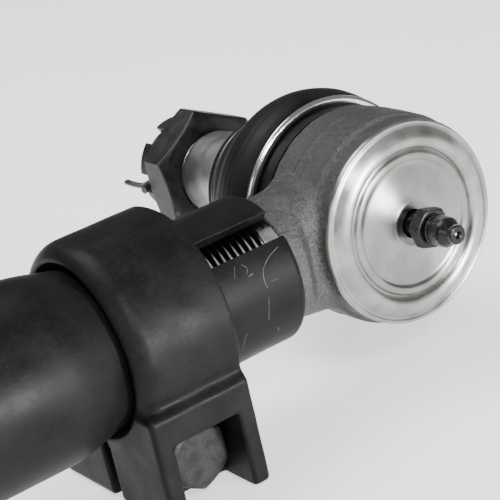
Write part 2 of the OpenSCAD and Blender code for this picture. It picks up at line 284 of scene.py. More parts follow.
@dataclass(frozen=True)
class TurnedSteel:
    """Bright steel off a lathe, with fine rings about the stud's axis.

    `rings` is how many noise cycles of tool mark there are to a millimetre.
    """

    name: str
    slot: str
    base: Colour
    roughness: tuple[float, float]
    rings: float = 4.0
    depth: float = 0.006
    anisotropy: float = 0.6
    stain: float = 0.15

    def make(self) -> bpy.types.Material:
        """Build the material's nodes.

        Returns:
            The material, ready for a piece turned about the stud's axis.
        """
        sheet = NodeSheet(self.name)
        split = sheet.add("SeparateXYZ", {0: sheet.place()})
        squares = [sheet.sum("MULTIPLY", split.outputs[i], split.outputs[i]) for i in (0, 2)]
        radius = sheet.sum("SQRT", sheet.sum("ADD", *squares), 0.0)
        along = sheet.sum("ADD", radius, sheet.sum("MULTIPLY", split.outputs[1], 0.8))
        line = sheet.add("TexNoise", {"W": along, "Scale": self.rings / MM, "Detail": 2.0},
                         noise_dimensions="1D").outputs[0]
        cloud = sheet.noise(5, 4)
        fleck = sheet.ramp(sheet.noise(0.5, 2), 0.66, 0.74)
        dull = tuple(c * (1 - self.stain * 2) for c in self.base)
        colour = sheet.mix(sheet.ramp(cloud, 0.35, 0.65), dull, self.base)
        colour = sheet.mix(sheet.sum("MULTIPLY", sheet.ramp(line, 0.4, 0.7), self.stain), colour, dull)
        colour = sheet.mix(sheet.sum("MULTIPLY", fleck, 0.5), colour, tuple(c * 0.4 for c in self.base))
        rough = sheet.ramp(sheet.sum("ADD", sheet.sum("MULTIPLY", cloud, 0.5), sheet.sum("MULTIPLY", line, 0.5)),
                           0.35, 0.65, self.roughness)
        turn = sheet.add("Tangent", direction_type="RADIAL", axis="Y").outputs[0]
        sheet.shade(Base_Color=colour, Metallic=1.0, Roughness=rough, Normal=sheet.bump(line, self.depth),
                    Anisotropic=self.anisotropy, Anisotropic_Rotation=0.25, Tangent=turn)
        return sheet.material


FORGED = Finish("forged_scale", "forged_steel", (0.036, 0.0355, 0.034), (0.078, 0.077, 0.0745), 0.4, (0.44, 0.6),
                0.6, 0.3, 0.2, 0.05, wear=0.2, bare=(0.2, 0.195, 0.19), specular=0.4)
RIM = TurnedSteel("turned_rim", "turned_steel", (0.37, 0.365, 0.352), (0.27, 0.38), 5.0, 0.005, 0.8, 0.12)
PLATE = TurnedSteel("turned_plate", "turned_steel", (0.29, 0.286, 0.278), (0.28, 0.35), 6.0, 0.004, 0.8, 0.1)
BRIGHT_RING = TurnedSteel("bright_retainer", "bright_ring", (0.78, 0.78, 0.77), (0.12, 0.2), 2.0, 0.003, 0.2, 0.05)
BEARING = TurnedSteel("ground_bearing", "bearing_steel", (0.6, 0.59, 0.57), (0.15, 0.25), 3.0, 0.003, 0.3, 0.08)
STUD_STEEL = TurnedSteel("ground_stud", "stud_steel", (0.43, 0.425, 0.41), (0.34, 0.46), 4.0, 0.006, 0.3, 0.08)
SPRING = Finish("spring_wire", "spring_steel", (0.07, 0.07, 0.07), (0.13, 0.13, 0.13), 0.9, (0.3, 0.42))
PIN = Finish("drawn_pin_wire", "pin_steel", (0.05, 0.049, 0.046), (0.12, 0.117, 0.11), 0.7,
             (0.36, 0.5), 2.5, 0.5, 0.02)
# Painted shadow of the slot's upper wall on the shank's thread and shoulder, on their side facing 40.5 degrees; their
# dark roots are painted shade.
SHANK_THREAD = ThreadSteel("cut_shank_thread", "forged_steel", Axis.SLEEVE, 12.8, 12.5, (0.5, 0.5, 0.49),
                           (0.006, 0.006, 0.006), 40.5, 0.14)
SHANK_PLAIN = ThreadSteel("turned_shank_shoulder", "forged_steel", Axis.SLEEVE, 12.35, 12.15, (0.45, 0.45, 0.44),
                          (0.01, 0.01, 0.01), 40.5, 0.09)
# Painted shade in the stud thread's dark roots.
STUD_THREAD = ThreadSteel("cut_stud_thread", "stud_steel", Axis.STUD, 9.5, 9.0, (0.3, 0.3, 0.29))
RUBBER = Finish("boot_rubber_black", "boot_rubber", (0.003, 0.003, 0.0034), (0.0075, 0.0075, 0.008), 0.0,
                (0.44, 0.58), 5.0, 0.7, 0.02, 0.04, specular=0.14)
OXIDE = Finish("black_oxide_nut", "black_oxide", (0.008, 0.008, 0.009), (0.02, 0.02, 0.022), 0.4, (0.34, 0.5),
               3.0, 0.6, 0.03, 0.04, wear=0.35, bare=(0.16, 0.16, 0.165), specular=0.4)
FITTING = Finish("black_oxide_fitting", "black_fitting", (0.004, 0.004, 0.005), (0.012, 0.012, 0.014), 0.3,
                 (0.22, 0.36), 1.5, 0.35, 0.02, wear=0.2, bare=(0.2, 0.2, 0.21), specular=0.4)
SLEEVE_PAINT = Finish("sleeve_satin_black", "black_paint", (0.0045, 0.0045, 0.0047), (0.0085, 0.0085, 0.0088), 0.0,
                      (0.38, 0.52), 9.0, 0.7, 0.02, 0.05, scuff=0.14, wear=0.2, bare=(0.05, 0.05, 0.05), specular=0.1)
CLAMP_PAINT = Finish("clamp_satin_black", "clamp_paint", (0.0045, 0.0045, 0.0047), (0.0085, 0.0085, 0.0088), 0.0,
                     (0.38, 0.54), 7.0, 0.8, 0.03, 0.07, scuff=0.1, wear=0.2, bare=(0.05, 0.05, 0.05), specular=0.1)
SCRATCH = Finish("bright_scratch", "black_paint", (0.03, 0.03, 0.03), (0.075, 0.075, 0.075), 0.3, (0.45, 0.55),
                 1.0, 0.4, 0.01)


class Dresser:
    """Makes each finish once and puts it on pieces and CAD nodes."""

    def __init__(self) -> None:
        """Start with no material made."""
        self.made: dict[str, bpy.types.Material] = {}

    def dress(self, piece: bpy.types.Object, finish: Finish | TurnedSteel | ThreadSteel) -> bpy.types.Object:
        """Put a finish on a piece.

        Args:
            piece: the mesh to dress.
            finish: what its surface is.

        Returns:
            The same piece.
        """
        if finish.name not in self.made:
            self.made[finish.name] = finish.make()
        piece.data.materials.clear()
        piece.data.materials.append(self.made[finish.name])
        return piece

    def dress_node(self, node: str, finish: Finish | TurnedSteel | ThreadSteel) -> None:
        """Dress a CAD node that stays."""
        self.dress(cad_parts[node], finish)
        log.info("node %s dressed with %s", node, finish.name)


DRESSER = Dresser()


# ---------------------------------------------------------------- mesh making


def mesh_piece(name: str, points: np.ndarray, faces: Sequence[Sequence[int]], sharp_deg: float = 35.0,
               normals: np.ndarray | None = None) -> bpy.types.Object:
    """Make an object of a mesh in millimetres.

    Args:
        name: the piece's name.
        points: its corners, one row each.
        faces: its faces, as corner numbers, turned outwards.
        sharp_deg: edges bent by more than this stay sharp.
        normals: a shading normal for each corner, if they are known.

    Returns:
        The object, linked to the scene, in metres.
    """
    mesh = bpy.data.meshes.new(name)
    mesh.from_pydata((np.asarray(points) * MM).tolist(), [], [tuple(int(i) for i in f) for f in faces])
    mesh.validate()
    mesh.polygons.foreach_set("use_smooth", [True] * len(mesh.polygons))
    if normals is None:
        mesh.set_sharp_from_angle(angle=math.radians(sharp_deg))
    else:
        mesh.normals_split_custom_set_from_vertices(normals.tolist())
    piece = bpy.data.objects.new(name, mesh)
    bpy.context.scene.collection.objects.link(piece)
    return piece


def turned(points: np.ndarray, axis: Axis) -> np.ndarray:
    """Lay (radius, angle, along) rows out in space about the stud's or the sleeve's axis.

    Args:
        points: the rows to lay out.
        axis: what they turn about.

    Returns:
        Their places in space, one row each.
    """
    r, a, t = points[:, 0], points[:, 1], points[:, 2]
    if axis is Axis.STUD:
        return np.c_[r * np.cos(a), t, -r * np.sin(a)]
    return np.c_[-t, r * np.sin(a), r * np.cos(a)]


def lathe(name: str, outline: Outline, axis: Axis = Axis.STUD, turns: int = 160,
          sharp_deg: float = 35.0) -> bpy.types.Object:
    """Turn a closed outline into a ring.

    Args:
        name: the piece's name.
        outline: (radius, along) corners of the section, either way round, off the axis.
        axis: what to turn about.
        turns: how many sections there are in a full turn.
        sharp_deg: edges bent by more than this stay sharp.

    Returns:
        The closed ring.
    """
    section = np.array(outline, float)
    nxt = np.roll(section, -1, axis=0)
    if float(np.sum(section[:, 0] * nxt[:, 1] - nxt[:, 0] * section[:, 1])) < 0:
        section = section[::-1]
    n = len(section)
    angles = np.linspace(0, 2 * np.pi, turns, endpoint=False)
    rows = np.array([(r, a, t) for a in angles for r, t in section])
    faces = [
        (i * n + j, (i + 1) % turns * n + j, (i + 1) % turns * n + (j + 1) % n, i * n + (j + 1) % n)
        for i in range(turns) for j in range(n)
    ]
    faces = [f[::-1] for f in faces]
    return mesh_piece(name, turned(rows, axis), faces, sharp_deg)


def eased(points: Outline, steps: int = 4) -> list[tuple[float, float]]:
    """A smooth line through points, by a Catmull-Rom curve with steps pieces in each stretch.

    Args:
        points: what the line passes through.
        steps: how many pieces each stretch is cut into.

    Returns:
        The line's points, with both ends kept.
    """
    p = np.array([points[0], *points, points[-1]], float)
    line = []
    for i in range(1, len(p) - 2):
        for s in range(steps):
            t = s / steps
            line.append(tuple(0.5 * (2 * p[i] + (p[i + 1] - p[i - 1]) * t
                                     + (2 * p[i - 1] - 5 * p[i] + 4 * p[i + 1] - p[i + 2]) * t**2
                                     + (3 * p[i] - p[i - 1] - 3 * p[i + 1] + p[i + 2]) * t**3)))
    return [*line, tuple(points[-1])]


def arc(cx: float, cy: float, r: float, start: float, end: float, steps: int = 8) -> list[tuple[float, float]]:
    """Points of an arc, with its angles in degrees."""
    return [(cx + r * math.cos(math.radians(start + (end - start) * i / steps)),
             cy + r * math.sin(math.radians(start + (end - start) * i / steps))) for i in range(steps + 1)]


def screw(name: str, radius: float, pitch: float, low: float, high: float, axis: Axis,
          turns: int = 72) -> bpy.types.Object:
    """Make a threaded bar with a true helix and chamfered ends.

    Args:
        name: the piece's name.
        radius: radius over the crests.
        pitch: distance from crest to crest.
        low: where the bar starts along its axis.
        high: where it ends.
        axis: what it lies along.
        turns: how many sections there are in a full turn.

    Returns:
        The closed bar.
    """
    depth, rows = 0.6 * pitch, int((high - low) / pitch * 8)
    t = np.linspace(low, high, rows + 1)
    a = np.linspace(0, 2 * np.pi, turns, endpoint=False)
    tt, aa = np.meshgrid(t, a, indexing="ij")
    phase = np.mod(tt / pitch - aa / (2 * np.pi), 1)
    tooth = np.clip(np.abs(phase - 0.5) * 2.6 - 0.15, 0, 1)
    chamfer = np.clip(np.minimum(tt - low, high - tt) / 1.2, 0, 1)
    r = radius - depth + depth * np.minimum(1 - tooth, chamfer)
    points = turned(np.c_[r.ravel(), aa.ravel(), tt.ravel()], axis)
    ends = turned(np.array([(0, 0, low), (0, 0, high)]), axis)
    faces = [(i * turns + j, (i + 1) * turns + j, (i + 1) * turns + (j + 1) % turns, i * turns + (j + 1) % turns)
             for i in range(rows) for j in range(turns)]
    first, last = len(points), len(points) + 1
    faces += [(first, j, (j + 1) % turns) for j in range(turns)]
    faces += [(last, rows * turns + (j + 1) % turns, rows * turns + j) for j in range(turns)]
    return mesh_piece(name, np.vstack([points, ends]), faces, 80)


def wire(name: str, path: np.ndarray, radius: float, sides: int = 14, flat: float = 1.0) -> bpy.types.Object:
    """Sweep a round or a flattened wire along a path.

    Args:
        name: the piece's name.
        path: the centre line's points.
        radius: the wire's radius.
        sides: how many sides it has.
        flat: its thickness across, as a share of its width.

    Returns:
        The closed wire.
    """
    along = np.gradient(path, axis=0)
    along /= np.linalg.norm(along, axis=1)[:, None]
    side = np.cross(along[0], (0.3, 0.2, 0.9))
    rings, faces, n = [], [], len(path)
    for p, d in zip(path, along):
        side = side - d * (side @ d)
        side /= np.linalg.norm(side)
        up = np.cross(d, side)
        for a in np.linspace(0, 2 * np.pi, sides, endpoint=False):
            rings.append(p + radius * (math.cos(a) * side + math.sin(a) * flat * up))
    for i in range(n - 1):
        for j in range(sides):
            k = (j + 1) % sides
            faces.append((i * sides + j, i * sides + k, (i + 1) * sides + k, (i + 1) * sides + j))
    faces.append(tuple(range(sides))[::-1])
    faces.append(tuple((n - 1) * sides + j for j in range(sides)))
    return mesh_piece(name, np.array(rings), faces, 50)


# ---------------------------------------------------------------- rounded solids


def cut(a: np.ndarray, b: np.ndarray, r: float) -> np.ndarray:
    """Keep what is in both a and b, with the edge between them rounded to r."""
    return np.minimum(np.maximum(a, b), -r) + np.hypot(np.maximum(a + r, 0), np.maximum(b + r, 0))


def join(a: np.ndarray, b: np.ndarray, r: float) -> np.ndarray:
    """Join a and b, with the corner between them filled to a radius of r."""
    return -cut(-a, -b, r)


def slab(t: np.ndarray, low: float, high: float) -> np.ndarray:
    """Distance outside the band from low to high."""
    return np.maximum(low - t, t - high)


def step(t: np.ndarray, low: float, high: float) -> np.ndarray:
    """0 below low and 1 above high, eased between them."""
    s = np.clip((t - low) / (high - low), 0, 1)
    return s * s * (3 - 2 * s)


def hexagon(u: np.ndarray, v: np.ndarray, af: float, corner_deg: float) -> np.ndarray:
    """Distance outside a hexagon that is af across its flats, with a corner at corner_deg."""
    flats = [math.radians(corner_deg + 30 + 60 * k) for k in range(6)]
    return np.max([u * math.cos(a) + v * math.sin(a) for a in flats], axis=0) - af / 2


def ripple(p: np.ndarray, size: float) -> np.ndarray:
    """A gentle unevenness between about -1 and 1, with swells about size across."""
    x, y, z = (p[:, i] / size * 2 for i in range(3))
    return (np.sin(1.3 * x + 1.7 * y) * np.cos(1.1 * z - 0.7 * x) + np.sin(2.1 * z + 0.9 * y + 1.9 * x)) / 2


def solid(name: str, field_of: Field, low: Colour, high: Colour, cell: float) -> bpy.types.Object:
    """Turn a signed distance field into a smooth closed mesh.

    Args:
        name: the piece's name.
        field_of: gives the distance outside the solid at each row of points.
        low: lowest corner of the box that holds the solid.
        high: highest corner of that box.
        cell: size of the mesh's faces.

    Returns:
        The closed mesh, with its shading normals taken from the field.
    """
    lo = np.array(low, float) - 1.5 * cell
    count = np.ceil((np.array(high) + 1.5 * cell - lo) / cell).astype(int) + 1
    axes = [lo[i] + cell * np.arange(count[i]) for i in range(3)]
    grid = np.stack(np.meshgrid(*axes, indexing="ij"), -1)
    value = field_of(grid.reshape(-1, 3)).reshape(grid.shape[:3])
    inside = value < 0
    corners = [(i, j, k) for i in (0, 1) for j in (0, 1) for k in (0, 1)]
    span = [slice(0, c - 1) for c in count]

    def shifted(array: np.ndarray, c: tuple[int, int, int]) -> np.ndarray:
        """The array as seen from each cell's corner c."""
        return array[tuple(slice(c[i], count[i] - 1 + c[i]) for i in range(3))]

    held = sum(shifted(inside, c).astype(int) for c in corners)
    mixed = (held > 0) & (held < 8)
    number = np.full([s.stop for s in span], -1)
    number[mixed] = np.arange(int(mixed.sum()))
    base = grid[tuple(span)][mixed]
    total, hits = np.zeros_like(base), np.zeros(len(base))
    for a in corners:
        for b in corners:
            if sum(b) - sum(a) != 1 or any(x > y for x, y in zip(a, b)):
                continue
            va, vb = shifted(value, a)[mixed], shifted(value, b)[mixed]
            crossed = (va < 0) != (vb < 0)
            t = np.where(crossed, va / np.where(crossed, va - vb, 1), 0)
            at = base + cell * (np.array(a) + t[:, None] * (np.array(b) - np.array(a)))
            total += at * crossed[:, None]
            hits += crossed
    points = total / hits[:, None]

    def slope(p: np.ndarray) -> np.ndarray:
        """The field's gradient at p."""
        h = cell * 0.04
        return np.stack([field_of(p + h * e) - field_of(p - h * e) for e in np.eye(3)], 1) / (2 * h)

    for _ in range(3):
        g = slope(points)
        move = field_of(points)[:, None] * g / np.maximum((g * g).sum(1), 0.25)[:, None]
        points -= np.clip(move, -0.5 * cell, 0.5 * cell)
    normals = slope(points)
    normals /= np.maximum(np.linalg.norm(normals, axis=1), 1e-9)[:, None]
    faces = []
    for axis in range(3):
        one, two = [i for i in range(3) if i != axis]
        near = [slice(None)] * 3
        far = [slice(None)] * 3
        near[axis], far[axis] = slice(0, -1), slice(1, None)
        for s in (one, two):
            near[s] = far[s] = slice(1, -1)
        a, b = inside[tuple(near)], inside[tuple(far)]
        where = np.argwhere(a != b)
        outward = a[a != b]
        where[:, [one, two]] += 1
        quad = []
        for du, dv in ((-1, -1), (0, -1), (0, 0), (-1, 0)):
            c = where.copy()
            c[:, one] += du
            c[:, two] += dv
            quad.append(number[c[:, 0], c[:, 1], c[:, 2]])
        quad = np.stack(quad, 1)
        turn = outward if axis != 1 else ~outward
        faces.append(np.where(turn[:, None], quad, quad[:, ::-1]))
    return mesh_piece(name, points, np.vstack(faces), normals=normals)


def rounded_ring(name: str, outline: Outline, soft: float = 0.0, **options: object) -> bpy.types.Object:
    """Turn an outline whose corners are cut back by soft millimetres with three-point rounds.

    Args:
        name: the piece's name.
        outline: (radius, along) corners of the section.
        soft: how far each corner is cut back.
        options: what else lathe is given.

    Returns:
        The closed ring.
    """
    p = np.array(outline, float)
    section: list[tuple[float, float]] = []
    for i in range(len(p)):
        before, here, after = p[i - 1], p[i], p[(i + 1) % len(p)]
        back, on = before - here, after - here
        room = min(soft, 0.4 * float(np.linalg.norm(back)), 0.4 * float(np.linalg.norm(on)))
        a = here + back / np.linalg.norm(back) * room
        b = here + on / np.linalg.norm(on) * room
        section += [tuple(a), tuple((a + b + 2 * here) / 4), tuple(b)]
    return lathe(name, section, **options)


# ---------------------------------------------------------------- the socket


@dataclass
class Socket:
    """The forged housing with its machined rim, threaded shank, cover plate and retained boot ring."""

    body: str = "socket"
    head_r: float = 22.2
    front_r: float = 21.55
    front_y: float = -12.15
    rear_y: float = 9.2
    boss_r: float = 18.9
    mouth_y: float = 12.5
    neck_r: float = 13.0
    neck_end: float = 30.2
    neck_front: float = -9.4
    flat_end: float = 23.5
    round_start: float = 28.0
    cavity_r: float = 15.6
    shank_r: float = 12.65
    thread_start: float = 33.0
    shank_end: float = 88.0
    pitch: float = 1.5875
    cell: float = 0.55

    def forging(self, p: np.ndarray) -> np.ndarray:
        """The forged body as a field: head, boss and flattened neck with deep fillets.

        Args:
            p: rows of points, in millimetres.

        Returns:
            The distance outside it at each point.
        """
        x, y, z = p.T
        r, s = np.hypot(x, z), np.hypot(y, z)
        draft = self.front_r + (self.head_r + 0.2 - self.front_r) * step(y, -8.6, -7.2) - 0.03 * np.maximum(y, 0)
        head = cut(r - draft, y - self.rear_y, 2.4)
        head = join(head, cut(r - self.boss_r, y - self.mouth_y, 0.5), 1.2)
        flare = 0.9 * (1 - step(-x, 21, 29))
        front = self.neck_front - (self.neck_r + 0.5 + self.neck_front) * step(-x, self.flat_end, self.round_start)
        neck = cut(s - self.neck_r - flare, slab(y, front, self.mouth_y - 0.3), 3.0)
        neck = cut(neck, slab(-x, 0, self.neck_end), 0.9)
        body = join(head, neck, 2.2)
        flash = 0.28 * np.exp(-(((y - 0.8) / 0.55) ** 2)) * step(-x, -14, 4)
        body = body - flash + 0.09 * ripple(p, 5) + 0.04 * ripple(p[:, ::-1], 2.1)
        body = cut(body, slab(y, self.front_y + 0.35, self.mouth_y), 0.25)
        hollow = np.maximum(r - self.cavity_r, slab(y, -30, 8.4))
        mouth = r - 12.3 - 0.35 * np.maximum(y - 9, 0)
        return cut(body, -np.minimum(hollow, mouth), 0.3)

    def rim_outline(self) -> list[tuple[float, float]]:
        """Section of the machined face: outer edge, satin land, rolled bead and its dark groove.

        Returns:
            The closed outline, as (radius, along) corners.
        """
        y = self.front_y
        land = [(self.front_r, y + 0.5), (self.front_r + 0.02, y + 0.05), (self.front_r - 0.12, y - 0.42),
                (self.front_r - 0.4, y - 0.6), (self.front_r - 0.75, y - 0.56), (self.front_r - 1.0, y - 0.3),
                (20.4, y - 0.34)]
        bead = [(20.1, y - 0.42), (19.6, y - 0.85), (18.9, y - 1.38), (18.0, y - 1.8), (17.1, y - 1.88),
                (16.4, y - 1.62), (15.9, y - 1.15), (15.6, y - 0.6)]
        return [*land, *eased(bead, 3), (15.5, y - 0.1), (15.5, y + 1.0), (20.8, y + 1.0)]

    def make_housing(self) -> None:
        """Build the forging, its rim and its shank."""
        low, high = (-self.neck_end - 0.5, self.front_y, -24.0), (24.0, self.mouth_y + 0.1, 24.0)
        forging = solid("forged_housing", self.forging, low, high, self.cell)
        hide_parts("socket_housing")
        rim = lathe("machined_rim", self.rim_outline(), turns=240, sharp_deg=50)
        shank = screw("shank_thread", self.shank_r, self.pitch, self.thread_start, self.shank_end, Axis.SLEEVE)
        plain = self.shank_r - 0.4
        shoulder = rounded_ring("shank_shoulder", [(5, 29), (plain, 29), (plain, self.thread_start + 0.6),
                                                   (5, self.thread_start + 0.6)], 0.4, axis=Axis.SLEEVE)
        for piece, finish in ((forging, FORGED), (rim, RIM), (shank, SHANK_THREAD), (shoulder, SHANK_PLAIN)):
            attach(DRESSER.dress(piece, finish), self.body)
            log.info("%s built", piece.name)

    def make_cover(self) -> None:
        """Build the dished cover plate: outer ring, step, shallow dome and the boss under the fitting."""
        y = -12.9
        face = [(15.3, y), (15.15, y - 0.12), (14.95, y - 0.62), (14.7, y - 0.7), (13.9, y - 0.68), (13.6, y - 0.62),
                (13.3, y - 0.28), (13.0, y - 0.14), *eased([(12.4, y - 0.12), (11.2, y - 0.28), (9, y - 0.58),
                                                             (7, y - 0.8), (5.2, y - 0.88)], 4),
                (4.9, y - 0.95), (4.5, y - 0.95), (4.3, y - 0.8), (3.1, y - 0.78)]
        plate = lathe("cover_plate_face", [(17.2, y + 1.9), (17.2, y + 0.05), *face, (3.1, y + 1.9)],
                      turns=240, sharp_deg=60)
        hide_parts("cover_plate")
        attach(DRESSER.dress(plate, PLATE), self.body)
        log.info("cover plate built")

    def make_boot_ring(self) -> None:
        """Build the bright wire ring that holds the boot on the boss."""
        y = self.mouth_y
        section = [(21.95, y + 0.12), (22.5, y + 0.05), (23.1, y + 0.12), (23.5, y + 0.42), (23.55, y + 0.8),
                   (23.4, y + 1.15), (23.0, y + 1.36), (21.95, y + 1.38)]
        ring = lathe("boot_retaining_ring", section, turns=240, sharp_deg=70)
        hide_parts("boot_ring")
        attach(DRESSER.dress(ring, BRIGHT_RING), self.body)
        log.info("boot ring built")

    def build(self) -> None:
        """Build every piece of the socket and dress the CAD nodes inside it."""
        self.make_housing()
        self.make_cover()
        self.make_boot_ring()
        DRESSER.dress_node("upper_race", BEARING)
        DRESSER.dress_node("pressure_seat", BEARING)
        DRESSER.dress_node("preload_spring", SPRING)
        DRESSER.dress_node("boot_base_seal", RUBBER)


@dataclass
class GreaseFitting:
    """A straight grease fitting: hexagon, waist, barrel and coupling tip, with its sprung check ball."""

    body: str = "socket"
    hex_af: float = 7.94
    hex_front: float = -20.0
    hex_back: float = -17.0
    tip_y: float = -27.4
    barrel_r: float = 3.2
    tip_r: float = 2.0
    neck_r: float = 2.5
    corner_deg: float = -15.0

    def shape(self, p: np.ndarray) -> np.ndarray:
        """The fitting as a field.

        Args:
            p: rows of points, in millimetres.

        Returns:
            The distance outside it at each point.
        """
        x, y, z = p.T
        r = np.hypot(x, z)
        nut = cut(hexagon(x, z, self.hex_af, self.corner_deg), slab(y, self.hex_front, self.hex_back), 0.25)
        for depth in (y - self.hex_front, self.hex_back - y):
            nut = cut(nut, (r - 3.95 - 1.5 * depth) / 1.8, 0.15)
        neck = cut(r - self.neck_r, slab(y, self.hex_front - 1, -11), 0.1)
        cone = (r - self.tip_r - 0.68 * np.maximum(y - self.tip_y - 1.2, 0)) / 1.2
        barrel = cut(cut(cone, r - self.barrel_r, 0.3), slab(y, self.tip_y, self.hex_front - 0.5), 0.3)
        groove = np.maximum(2.75 - r, slab(y, self.hex_front - 1.6, self.hex_front - 1.1))
        body = join(join(nut, neck, 0.25), cut(barrel, -groove, 0.12), 0.15)
        port = np.maximum(r - 0.78, y - self.tip_y - 1.1)
        chamber = np.maximum(r - 1.25, slab(y, self.tip_y + 0.9, -11.5))
        return cut(body, -np.minimum(port, chamber), 0.12)

    def build(self) -> None:
        """Build the fitting and dress its check ball and spring."""
        fitting = solid("grease_fitting_body", self.shape, (-4.7, self.tip_y, -4.7), (4.7, -11.0, 4.7), 0.2)
        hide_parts("grease_fitting")
        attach(DRESSER.dress(fitting, FITTING), self.body)
        DRESSER.dress_node("fitting_check_ball", BRIGHT_RING)
        DRESSER.dress_node("fitting_spring", SPRING)
        log.info("grease fitting built")


# ---------------------------------------------------------------- the boot


@dataclass
class DustBoot:
    """The rubber boot in two halves that meet on its shoulder."""

    base: str = "socket"
    middle: str = "boot_swing"
    top: str = "stud_swing"
    wall: float = 1.2
    rib_depth: float = 0.07
    rib_pitch: float = 1.9
    lower_outside: list[tuple[float, float]] = field(default_factory=lambda: [
        (21.9, 14.05), (23.0, 14.5), (24.0, 16.6), (24.4, 19.6), (24.0, 22.6), (23.45, 24.4), (22.8, 25.71),
        (22.5, 26.2)])
    upper_outside: list[tuple[float, float]] = field(default_factory=lambda: [
        (22.5, 26.2), (22.2, 26.69), (21.4, 27.85), (20.3, 29.0), (18.9, 30.1), (18.7, 32.4), (17.5, 34.9),
        (16.0, 36.1), (15.3, 36.7), (15.25, 37.7), (15.8, 38.2), (15.8, 39.2), (15.5, 39.4)])

    def shell(self, name: str, outside: Outline, ribbed: bool, foot: Outline, head: Outline) -> bpy.types.Object:
        """Make one half as a closed shell.

        Args:
            name: the piece's name.
            outside: its outer line, from the socket towards the stud.
            ribbed: whether moulded ribs run round it.
            foot: extra corners at the socket's end of the inner line.
            head: extra corners at the stud's end of the inner line.

        Returns:
            The closed half.
        """
        line = np.array(eased(outside, 14 if ribbed else 5))
        run = np.gradient(line, axis=0)
        run /= np.linalg.norm(run, axis=1)[:, None]
        normal = np.c_[run[:, 1], -run[:, 0]]
        length = np.r_[0, np.cumsum(np.linalg.norm(np.diff(line, axis=0), axis=1))]
        inner = line - normal * self.wall
        if ribbed:
            fade = step(length, 1.0, 3.0) * (1 - step(length, length[-1] - 3.0, length[-1] - 1.0))
            wave = np.abs(np.sin(np.pi * length / self.rib_pitch)) ** 0.7
            line = line - normal * (self.rib_depth * fade * (1 - wave))[:, None]
        section = [*map(tuple, line), *head, *map(tuple, inner[::-1][2:-2]), *foot]
        return lathe(name, section, turns=160, sharp_deg=60)

    def build(self) -> None:
        """Build both halves in rubber and dress the boot's lip ring."""
        lower = self.shell("boot_lower", self.lower_outside, True, [(20.3, 14.3), (19.4, 14.3), (19.4, 12.6),
                                                                    (21.85, 12.6)], [(21.48, 25.57)])
        upper = self.shell("boot_upper", self.upper_outside, False, [(21.48, 25.57)],
                           [(11.15, 39.4), (11.15, 37.2)])
        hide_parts("dust_boot")
        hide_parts("dust_boot")
        for piece in (lower, upper):
            DRESSER.dress(piece, RUBBER)
        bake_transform(lower)
        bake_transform(upper)
        DRESSER.dress_node("boot_lip_ring", SPRING)
        log.info("boot built in two halves")


# ---------------------------------------------------------------- the stud


